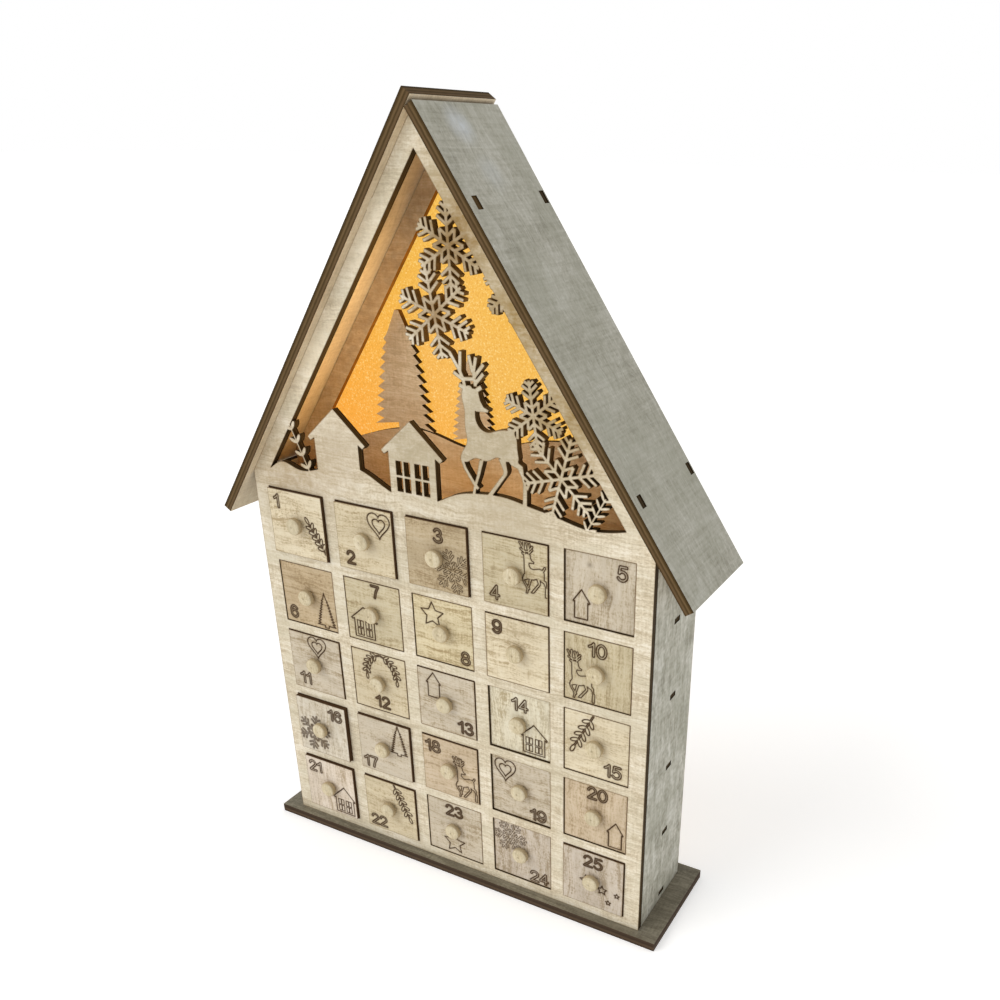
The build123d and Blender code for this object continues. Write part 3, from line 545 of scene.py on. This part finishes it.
# strokes of the figures in a box one wide and one high
figureStrokes = {
    "0": [arc((0.5, 0.5), (0.5, 0.5), 0, 360, 32)],
    "1": [np.array([(0.0, 0.72), (0.5, 0.83), (0.85, 1.0), (0.85, 0.0)])],
    "2": [np.vstack([
        arc((0.5, 0.71), (0.46, 0.29), 172, -22), [(0.62, 0.4), (0.26, 0.16), (0.03, 0.0), (1.0, 0.0)],
    ])],
    "3": [arc((0.48, 0.75), (0.4, 0.25), 160, -90), arc((0.48, 0.26), (0.5, 0.26), 80, -165)],
    "4": [np.array([(0.74, 0.0), (0.74, 1.0), (0.0, 0.28), (1.0, 0.28)])],
    "5": [np.vstack([[(0.92, 1.0), (0.22, 1.0), (0.12, 0.52)], arc((0.46, 0.33), (0.5, 0.33), 115, -150)])],
    "6": [
        arc((0.5, 0.31), (0.48, 0.31), 0, 360, 28),
        np.vstack([arc((0.54, 0.56), (0.52, 0.44), 35, 180), [(0.02, 0.31)]]),
    ],
    "7": [np.array([(0.0, 1.0), (1.0, 1.0), (0.62, 0.52), (0.42, 0.0)])],
    "8": [arc((0.5, 0.75), (0.4, 0.25), 0, 360, 24), arc((0.5, 0.26), (0.5, 0.26), 0, 360, 28)],
    "9": [
        arc((0.5, 0.69), (0.48, 0.31), 0, 360, 28),
        np.vstack([arc((0.46, 0.44), (0.52, 0.44), 215, 360), [(0.98, 0.69)]]),
    ],
}
numeral = {  # mm, and which numbers are scorched right across, by how deeply
    "height": 8.4, "width": 6.1, "narrow": 4.2, "gap": 0.4, "stroke": 1.25,
    "fill": {0.75: (2, 7, 9, 12, 13, 23, 25), 0.55: (3, 6, 8, 16, 18, 19, 20, 22), 0.3: (1, 4, 11, 15, 17)},
}


def numeralDistance(x, z, number, middle):
    # union of each figure's thick strokes, set side by side, a one being narrower
    text, thick, tall = str(number), numeral["stroke"], numeral["height"]
    widths = [numeral["narrow" if figure == "1" else "width"] for figure in text]
    left = -(sum(widths) + numeral["gap"] * (len(text) - 1)) / 2
    bars = []
    for figure, width in zip(text, widths):
        corner = np.array(middle) + (left + thick / 2, (thick - tall) / 2)
        size = np.array([width, tall]) - thick
        bars += [corner + stroke * size for stroke in figureStrokes[figure]]
        left += width + numeral["gap"]
    return barDistance(x, z, bars, thick)


# the ornaments' fixed proportions; thin is how much closer in a finer line's edge lies, in mm
heartInner = 0.56  # size of the small heart in the large one
starNotch = 0.49  # radius of a star's notches over that of its points
snow = {"twigs": ((0.26, 0.24), (0.52, 0.33), (0.74, 0.26)), "spread": 0.9, "bar": 1.1, "thin": 0.195}
leaves = {"stem": 0.8, "first": 0.75, "last": 0.9, "spread": 0.8, "width": 0.44}
cottage = {
    "eaveDrop": 0.7, "sill": 1.3, "head": 0.9, "bar": 0.9, "pane": 1.95, "columns": (1.9, 4.2), "thin": 0.065,
}
fir = {"rows": 12, "smooth": 3, "flare": 0.8, "notch": 2.2, "droop": 0.8, "trunk": (1.4, 1.5)}


def heart(x, z, middle, width, height):
    # heart curve, once large and once small: x = sin^3 t / 2,
    # z = (13 cos t - 4.2 cos 2t - 1.4 cos 3t - 0.6 cos 4t + 2.8) / 27.2
    t = np.linspace(0, 2 * np.pi, 64, endpoint=False)
    across = np.sin(t) ** 3 / 2
    up = (13 * np.cos(t) - 4.2 * np.cos(2 * t) - 1.4 * np.cos(3 * t) - 0.6 * np.cos(4 * t) + 2.8) / 27.2
    curve = np.stack([width * across, height * up], axis=1)
    return np.minimum.reduce([pathDistance(x, z, middle + k * curve, True) for k in (1.0, heartInner)])


def star(x, z, middle, radius, lean=0):
    # five points and five notches in turn round the middle
    reach = radius * np.where(np.arange(10) % 2, starNotch, 1.0)
    rim = onEllipse(middle, (reach, reach), np.radians(90 + lean + 36 * np.arange(10)))
    return pathDistance(x, z, rim, True)


def flake(x, z, middle, radius, lean, shaded=False):
    # six arms with paired twigs, only their common rim engraved, or half scorched inside it too
    bars = []
    for heading in np.radians(lean + 60 * np.arange(6)):
        bars.append([middle, away(middle, heading, radius)])
        for place, length in snow["twigs"]:
            root = away(middle, heading, place * radius)
            for spread in (-snow["spread"], snow["spread"]):
                bars.append([root, away(root, heading + spread, length * radius)])
    field = barDistance(x, z, bars, snow["bar"])
    rim = np.abs(field) + snow["thin"]
    return np.where(field < 0, np.minimum(rim, front["line"] / 2), rim) if shaded else rim


def sprig(x, z, root, tip, bow=0.0, pairs=4, leaf=5.0):
    # stem on a shallow bow, root + run t + 4 side t (1 - t), with leaf pairs and an end leaf
    root, tip = np.array(root), np.array(tip)
    run = tip - root
    side = np.array([-run[1], run[0]]) * bow
    share = np.linspace(0, 1, 12)[:, None]
    stem = root + run * share + 4 * side * share * (1 - share)
    field = barDistance(x, z, [stem], leaves["stem"])
    for pair in range(pairs + 1):
        t = (pair + leaves["first"]) / (pairs + leaves["last"])
        joint = root + run * t + 4 * side * t * (1 - t)
        way = run + 4 * side * (1 - 2 * t)
        for spread in ((-leaves["spread"], leaves["spread"]) if pair < pairs else (0.0,)):
            heading = math.atan2(way[1], way[0]) + spread
            rim = leafDistance(x, z, away(joint, heading, leaf / 2), heading, leaf, leaves["width"] * leaf)
            field = np.minimum(field, rim)
    return field


def house(x, z, apex, eaves, walls, foot, lit=False):
    # gabled outline with small eave boards, and where lit two windows of four panes
    (left, right, level), drop = eaves, cottage["eaveDrop"]
    rim = [apex, (right, level), (right - drop, level - drop), (walls[1], level), (walls[1], foot),
           (walls[0], foot), (walls[0], level), (left + drop, level - drop), (left, level)]
    field = pathDistance(x, z, rim, True)
    if lit:
        middle, sill, head = (walls[0] + walls[1]) / 2, foot + cottage["sill"], level - cottage["head"]
        pane = np.array([cottage["pane"], (head - sill - cottage["bar"]) / 2])
        corners = pane * np.array([(-0.5, -0.5), (0.5, -0.5), (0.5, 0.5), (-0.5, 0.5)])
        for column in cottage["columns"]:
            for side in (-column, column):
                for row in (sill + pane[1] / 2, head - pane[1] / 2):
                    glass = pathDistance(x, z, corners + (middle + side, row), True)
                    field = np.minimum(field, glass + cottage["thin"])
    return field


def firTree(x, z, apex, halfBase, foot):
    # drooping saw-tooth sides under a smooth tip, and a stub of trunk
    share = np.arange(fir["smooth"], fir["rows"] + 1) / fir["rows"]
    height = apex[1] - foot
    tips = np.stack([halfBase * share ** fir["flare"], apex[1] - height * share], axis=1)
    rise = np.full(share.shape, fir["droop"] * height / fir["rows"])
    notches = tips + np.stack([-fir["notch"] * share ** 0.5, rise], axis=1)
    teeth = np.stack([notches, tips], axis=1).reshape(-1, 2)
    trunk, stub = fir["trunk"]
    side = np.vstack([[(0, apex[1])], teeth, [(trunk, foot), (trunk, foot - stub)]])
    rim = np.vstack([side, (side * (-1, 1))[::-1]]) + (apex[0], 0)
    return pathDistance(x, z, rim, True)


# reindeer looking back over its shoulder, in mm of the gable's larger one
deer = {
    "body": [
        (31, 32.5), (35, 33.2), (39, 35.2), (44, 33.9), (47.5, 34.6), (50.7, 35.1), (50.6, 40.3),
        (50.3, 45.5), (48.5, 48.7), (43.5, 49.5), (38.5, 48.3), (34, 47), (30.5, 47.9), (28.2, 50.2),
        (27.1, 53.3), (27.7, 56.4), (34.4, 56.7), (34.9, 58), (32.1, 59), (30.3, 61.8), (29.5, 64.9),
        (29.3, 67.3), (24, 68.6), (20.2, 66), (20.8, 57), (20.8, 48), (21.4, 40), (18.6, 35.4),
        (17.8, 31.4), (20, 30.2), (25, 32.6),
    ],
    "legs": [
        [(17.2, 31.9), (19.2, 31.1), (20.7, 27.3), (25.4, 20.6), (27.9, 17.9), (26.7, 16.7),
         (23.9, 19.4), (18.8, 27)],
        [(28.5, 32.5), (31.1, 32.9), (28.3, 23.9), (26.4, 19), (24.7, 11.7), (23, 11.4),
         (24.6, 18.7), (26.6, 24.2)],
        [(39.6, 34.8), (43.7, 34.9), (44.7, 28.9), (44.3, 27.2), (34.3, 13.7), (31.3, 13.4),
         (41.9, 27.2), (42.4, 28.8)],
        [(44.4, 35.5), (50.7, 35.7), (51.1, 34.2), (53.4, 33), (53.7, 31.4), (54.3, 24.8),
         (55.7, 23.4), (55.4, 11), (52.9, 11), (53.4, 24.1), (52.7, 27.1), (50.6, 31.2), (46.8, 32.6)],
    ],
    "tines": [
        [(21.7, 67.7), (20.8, 71.5), (18.8, 75.5), (13.8, 83)], [(19.3, 75), (19.8, 84.2)],
        [(20.5, 71.1), (15.4, 73.9)], [(20.8, 71.3), (27.6, 71.9)],
        [(27.8, 68.4), (27.6, 72), (26.4, 76.1), (24.6, 82.9)], [(26.8, 74.3), (28.6, 82.3)],
        [(27.2, 72.8), (32.8, 79.4)], [(27.7, 69.7), (32.6, 75)], [(23.1, 66.5), (18.3, 68.2)],
        [(49, 48), (52, 53)],  # the last is its tail
    ],
    "corner": (13.6, 11), "scale": 0.38, "tine": 1.8, "outset": 0.22, "thin": 0.078,
}


def reindeer(x, z, corner):
    # rim of the union of body, legs and tines, shrunk to the drawer, with a fine line just outside it
    u = (x - corner[0]) / deer["scale"] + deer["corner"][0]
    v = (z - corner[1]) / deer["scale"] + deer["corner"][1]
    parts = [shapeDistance(u, v, outline) for outline in (deer["body"], *deer["legs"])]
    field = np.minimum.reduce(parts + [barDistance(u, v, deer["tines"], deer["tine"])]) * deer["scale"]
    return np.abs(field - deer["outset"]) + deer["thin"]


# veneer tints, and each drawer's own: veneer, grain, where its number stands and what is engraved
veneers = {
    "cream": "#e3d7bc", "beige": "#d8cbae", "sand": "#c2b193", "ash": "#d0c5b2", "straw": "#dccfad",
    "tan": "#c7b393", "rose": "#d1bfa5", "chalk": "#ddd5c6", "smoke": "#cec3b5", "olive": "#cfc3a5",
    "blush": "#e4d8ca", "milk": "#e6dfc9",
}
drawers = {
    1: ("cream", xWay, (-13.5, 12.3), [(sprig, (19, -14.4), (8.4, 2.5), 0.0, 5, 4.2)]),
    2: ("beige", xWay, (-11, -12.3), [(heart, (10.6, 9.8), 15.0, 14.7)]),
    3: ("sand", xWay, (1.5, 12.3), [(flake, (9.9, -6.6), 12.2, 45)]),
    4: ("olive", xWay, (-12.6, -12.8), [(reindeer, (3.1, -9))]),
    5: ("ash", zWay, (12.1, 12.3), [(house, (-10.2, -0.9), (-15, -5.4, -7.6), (-14.1, -6.6), -17)]),
    6: ("tan", xWay, (-13.4, -12.8), [(firTree, (11.3, 4.4), 6.7, -16.9)]),
    7: ("olive", xWay, (2.3, 14), [(house, (-7.4, 2.2), (-16.75, 2, -5.9), (-14.6, -0.5), -17.4, True)]),
    8: ("straw", xWay, (14, -13.2), [(star, (-6.9, 9), 7.8)]),
    9: ("cream", xWay, (-12.2, 12.4), []),
    10: ("olive", zWay, (-0.4, 12.7), [(reindeer, (-17.7, -18.4))]),
    11: ("ash", xWay, (-10.2, -12), [(heart, (1.9, 11.4), 13.9, 13.9)]),
    12: ("beige", xWay, (0.6, -13.3), [
        (sprig, (0.4, 18.2), (-9.3, 3.6), -0.2, 5, 3.7), (sprig, (1.6, 18.2), (12.6, 3.6), 0.2, 5, 3.7),
    ]),
    13: ("ash", xWay, (12.2, -13.4), [(house, (-8.7, 17.6), (-13.6, -3.9, 10.9), (-12.6, -4.75), 1.6)]),
    14: ("milk", zWay, (0, 11.9), [(house, (8.9, 1.25), (0.6, 17.4, -6.6), (1.9, 15.75), -17.6, True)]),
    15: ("cream", xWay, (10.2, -12.8), [(sprig, (-2.1, 18.4), (-13.6, -3.4))]),
    16: ("chalk", zWay, (11, 12.2), [(flake, (-7.2, -5.3), 12.7, 17, True)]),
    17: ("ash", xWay, (-12, -13.4), [(firTree, (10.75, 18.9), 6.3, -1)]),
    18: ("rose", xWay, (-12, 12.7), [(reindeer, (2.1, -18))]),
    19: ("ash", xWay, (11, -14.2), [(heart, (-10.6, 10.4), 13.9, 14.9)]),
    20: ("rose", zWay, (1.1, 14.4), [(house, (12.9, -1.25), (7.6, 17.6, -8.1), (8.6, 16.7), -18.1)]),
    21: ("blush", zWay, (-11.5, 12.6), [(house, (10.4, 2.5), (0.9, 18.6, -6.5), (2.8, 17.3), -17.8, True)]),
    22: ("beige", xWay, (-10.6, -13.6), [(sprig, (3.6, 18.6), (14.2, -3.4), 0.0, 5, 4.4)]),
    23: ("ash", xWay, (-0.2, 13.3), [(star, (-1, -11), 7.8)]),
    24: ("smoke", zWay, (11.4, -14.5), [(flake, (-8.4, 9.1), 11.0, 0)]),
    25: ("smoke", zWay, (0, 12.8), [
        (star, (-3.9, -2.2), 4.4, 8), (star, (6.1, -5), 3.2),
        (star, (15.6, -5.75), 1.7), (star, (10.25, -12.8), 1.7),
    ]),
}
knots = {5: (-5.8, 13.4, 1.3, 0.5)}  # a drawer's small dark knot: place, radius and how dark
front = {  # mm
    "size": 38.6, "ply": 4.0, "line": 0.66, "depth": 0.3, "wall": 0.1,  # half the width of a groove's wall
    "margin": 0.3, "halo": 0.22, "haloReach": 0.45,  # lines stop short of the edge and have a faint halo
    "step": 0.26, "coarse": 7, "near": 0.75,  # grid, thinned to every seventh line away from grooves
}

# drawer fronts share two materials, one for each way of the grain; the veneer's tint is on the mesh
frontFinish = {
    **finishes["paleWash"], "normal": yWay, "from": -36.0, "to": -26.0,
    "tint": "veneer", "burn": "burn", "scorch": "#452f14",
    "face": [(0.2, "#c2b6a1"), (0.5, "#f4f0e8"), (0.8, "#ffffff")], "stain": "#dedbd5", "poreDark": 0.4,
    "edge": [(0.0, "#3a291c"), (0.5, "#513c29"), (1.0, "#3a291c")],
}
frontPly = {
    "up": plyMaterial("washedBirchUpright", {**frontFinish, "grain": zWay, "across": xWay}),
    "level": plyMaterial("washedBirchLevel", {**frontFinish, "grain": xWay, "across": zWay}),
}


def engravedFront(name, number, middle, level, face):
    # Height field over the square front: y = face + depth * m, where m is 1 inside half a line width
    # of a figure's rim and falls to 0 over the groove's wall. Rows and columns away from every line
    # are thinned out.
    veneer, grain, place, motifs = drawers[number]
    half, line = front["size"] / 2, front["line"] / 2
    count = 2 * round(half / front["step"]) + 1
    spread = np.linspace(-half, half, count)
    x, z = np.meshgrid(spread, spread)
    figure = numeralDistance(x, z, number, place)
    field = np.abs(figure)
    for motif, *values in motifs:
        field = np.minimum(field, np.abs(motif(x, z, *values)))
    near = field < front["near"]
    every = np.arange(count) % front["coarse"] == 0
    every[-1] = True
    rows, columns = near.any(axis=1) | every, near.any(axis=0) | every
    x, z, field, figure = [grid[rows][:, columns] for grid in (x, z, field, figure)]
    inside = np.maximum(np.abs(x), np.abs(z)) < half - front["margin"]
    mark = np.clip((line + front["wall"] - field) / (2 * front["wall"]), 0, 1) * inside
    for depth, numbers in numeral["fill"].items():
        if number in numbers:
            mark = np.maximum(mark, depth * (figure < 0))
    halo = front["halo"] * np.exp(-np.maximum(field - line, 0) / front["haloReach"]) * inside
    burn = np.clip(mark + halo, 0, 1)
    if number in knots:
        knotX, knotZ, radius, dark = knots[number]
        burn = np.maximum(burn, dark * np.exp(-((x - knotX) ** 2 + (z - knotZ) ** 2) / radius ** 2))
    y = face + front["depth"] * mark
    high, wide = x.shape
    grid = np.stack([middle + x, y, level + z], axis=2).reshape(-1, 3)
    index = np.arange(high * wide).reshape(high, wide)
    quads = np.stack([index[:-1, :-1], index[:-1, 1:], index[1:, 1:], index[1:, :-1]], axis=2).reshape(-1, 4)
    ring = np.concatenate([index[0, :-1], index[:-1, -1], index[-1, :0:-1], index[:0:-1, 0]])
    back = grid[ring] * (1, 0, 1) + (0, face + front["ply"], 0)
    rear = high * wide + np.arange(len(ring))
    sides = np.stack([np.roll(ring, -1), ring, rear, np.roll(rear, -1)], axis=1)
    vertices = np.vstack([grid, back])
    faces = quads.tolist() + sides.tolist() + [rear[::-1].tolist()]
    shade = np.tile(linear(veneers[veneer]), (len(vertices), 1))
    allBurn = np.concatenate([burn.ravel(), np.zeros(len(ring))])
    material = frontPly["up" if grain is zWay else "level"]
    return makePiece(name, vertices, faces, material, burn=allBurn, veneer=shade)


knob = {  # mm, measured from the front's face
    "reach": 5.0, "head": 3.6, "headRadius": 5.0, "neckRadius": 3.2, "buried": 1.0, "sides": 40,
    "flare": 1.0, "shoulder": (0.5, 0.15), "straight": 0.3,  # from the neck out to the head's straight side
    "round": 1.5, "bend": 80, "bendRings": 7, "dome": 0.35,  # rounded rim, bent in degrees, and low dome
    "centre": ((1.8, 0.06), (0.55, 0.0), (0.4, 0.3)),  # dome and lathe mark: radius, drop from the top
}
knobBirch = plyMaterial("turnedBirch", {
    **finishes["paleWash"], "normal": yWay, "grain": zWay, "across": xWay, "from": -40.0, "to": -26.0,
    "face": [(0.2, "#b6a685"), (0.5, "#ccbd9b"), (0.8, "#dccfb3")],
    "edge": [(0.0, "#b3a180"), (1.0, "#bcab8a")],
})


def turnedKnob(name, middle, level, face):
    # Profile (radius, reach) carried round the knob's axis: neck, flared shoulder, straight head, rounded rim
    # and low dome. The neck goes into the front.
    neck, head, top = knob["neckRadius"], knob["headRadius"], knob["reach"]
    low, crown = top - knob["head"], top - knob["dome"]
    stem = [(neck, -knob["buried"]), (neck, 0.0), (neck, low - knob["flare"]),
            (head - knob["shoulder"][0], low - knob["shoulder"][1]), (head, low + knob["straight"])]
    bend = np.radians(np.linspace(0, knob["bend"], knob["bendRings"]))
    rim = np.array([head, crown]) - knob["round"] * (1 - np.stack([np.cos(bend), np.sin(bend)], axis=1))
    centre = [(radius, top - below) for radius, below in knob["centre"]]
    profile = np.vstack([stem, rim, centre])
    angle = np.linspace(0, 2 * np.pi, knob["sides"], endpoint=False)
    ringX = middle + profile[:, :1] * np.cos(angle)
    ringZ = level + profile[:, :1] * np.sin(angle)
    ringY = np.broadcast_to(face - profile[:, 1:], ringX.shape)
    vertices = np.stack([ringX, ringY, ringZ], axis=2).reshape(-1, 3)
    index = np.arange(len(vertices)).reshape(ringX.shape)
    ahead = np.roll(index, -1, axis=1)
    quads = np.stack([index[:-1], ahead[:-1], ahead[1:], index[1:]], axis=2).reshape(-1, 4)
    faces = quads.tolist() + [index[0, ::-1].tolist(), index[-1].tolist()]
    return makePiece(name, vertices, faces, knobBirch, smooth=True)


tray = {"inset": 0.4, "ply": 2.5, "height": 30.0, "length": 57.0, "fingers": 5}  # mm, and fingers per corner
trayPly = plyMaterial("bareBirchTray", {
    **finishes["rawPly"], "normal": zWay, "grain": yWay, "across": xWay, "from": 0.0, "to": 240.0,
    "cut": "cut", "edge": [(0.0, "#4a3424"), (1.0, "#4a3424")],
})


def cutBoard(outline, low, high, way):
    # flat outline carried straight through the board: way 0 stands across x, 1 across y and 2 across z
    outline = np.asarray(outline, dtype=float)
    count = len(outline)
    both = np.vstack([np.insert(outline, way, low, axis=1), np.insert(outline, way, high, axis=1)])
    here = np.arange(count)
    ahead = np.roll(here, -1)
    sides = np.stack([here, ahead, ahead + count, here + count], axis=1)
    return both, [here[::-1].tolist(), (here + count).tolist()] + sides.tolist(), [0.0, 0.0] + [1.0] * count


def drawerTray(name, middle, floor, face):
    # bottom, two sides and a back, finger-jointed at the rear corners
    near, far, ply = face + front["ply"], face + tray["length"], tray["ply"]
    outer = front["size"] / 2 - tray["inset"]
    left, right = middle - outer, middle + outer
    low, high = floor + ply, floor + tray["height"]
    steps = np.linspace(low, high, tray["fingers"] + 1)
    ends = [(place % 2, steps[place + end]) for place in range(tray["fingers"]) for end in (0, 1)]
    notches = [(far - ply * odd, height) for odd, height in ends]
    tabs = np.array([(outer - ply * (1 - odd), height) for odd, height in ends])
    sideRim = [(near, low), *notches, (near, high)]
    backRim = np.vstack([tabs, (tabs * (-1, 1))[::-1]]) + (middle, 0)
    plan = [(left, near), (right, near), (right, far), (left, far)]
    boards = [
        cutBoard(plan, floor, low, 2), cutBoard(backRim, far - ply, far, 1),
        cutBoard(sideRim, left, left + ply, 0), cutBoard(sideRim, right - ply, right, 0),
    ]
    vertices, faces, cut = [], [], []
    for points, sides, marks in boards:
        shift = sum(len(part) for part in vertices)
        vertices.append(points)
        faces += [[corner + shift for corner in side] for side in sides]
        cut += marks
    piece = makePiece(name, np.vstack(vertices), faces, trayPly, cut=cut)
    shell = bmesh.new()
    shell.from_mesh(piece.data)
    bmesh.ops.recalc_face_normals(shell, faces=shell.faces)
    shell.to_mesh(piece.data)
    shell.free()
    return piece


for number in drawers:
    node = f"drawer_{number:02d}"
    low, high = [1000 * np.array(corner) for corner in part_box(node)]
    middle, level = (low[0] + high[0]) / 2, (low[2] + high[2]) / 2
    face = low[1] + knob["reach"]  # the knob reaches furthest forward
    pieces = [
        engravedFront(f"front_{number:02d}", number, middle, level, face),
        turnedKnob(f"knob_{number:02d}", middle, level, face),
        drawerTray(f"tray_{number:02d}", middle, low[2], face),
    ]
    for piece in pieces:
        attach(piece, node)
        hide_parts(node)
print("drawers made:", len(drawers))
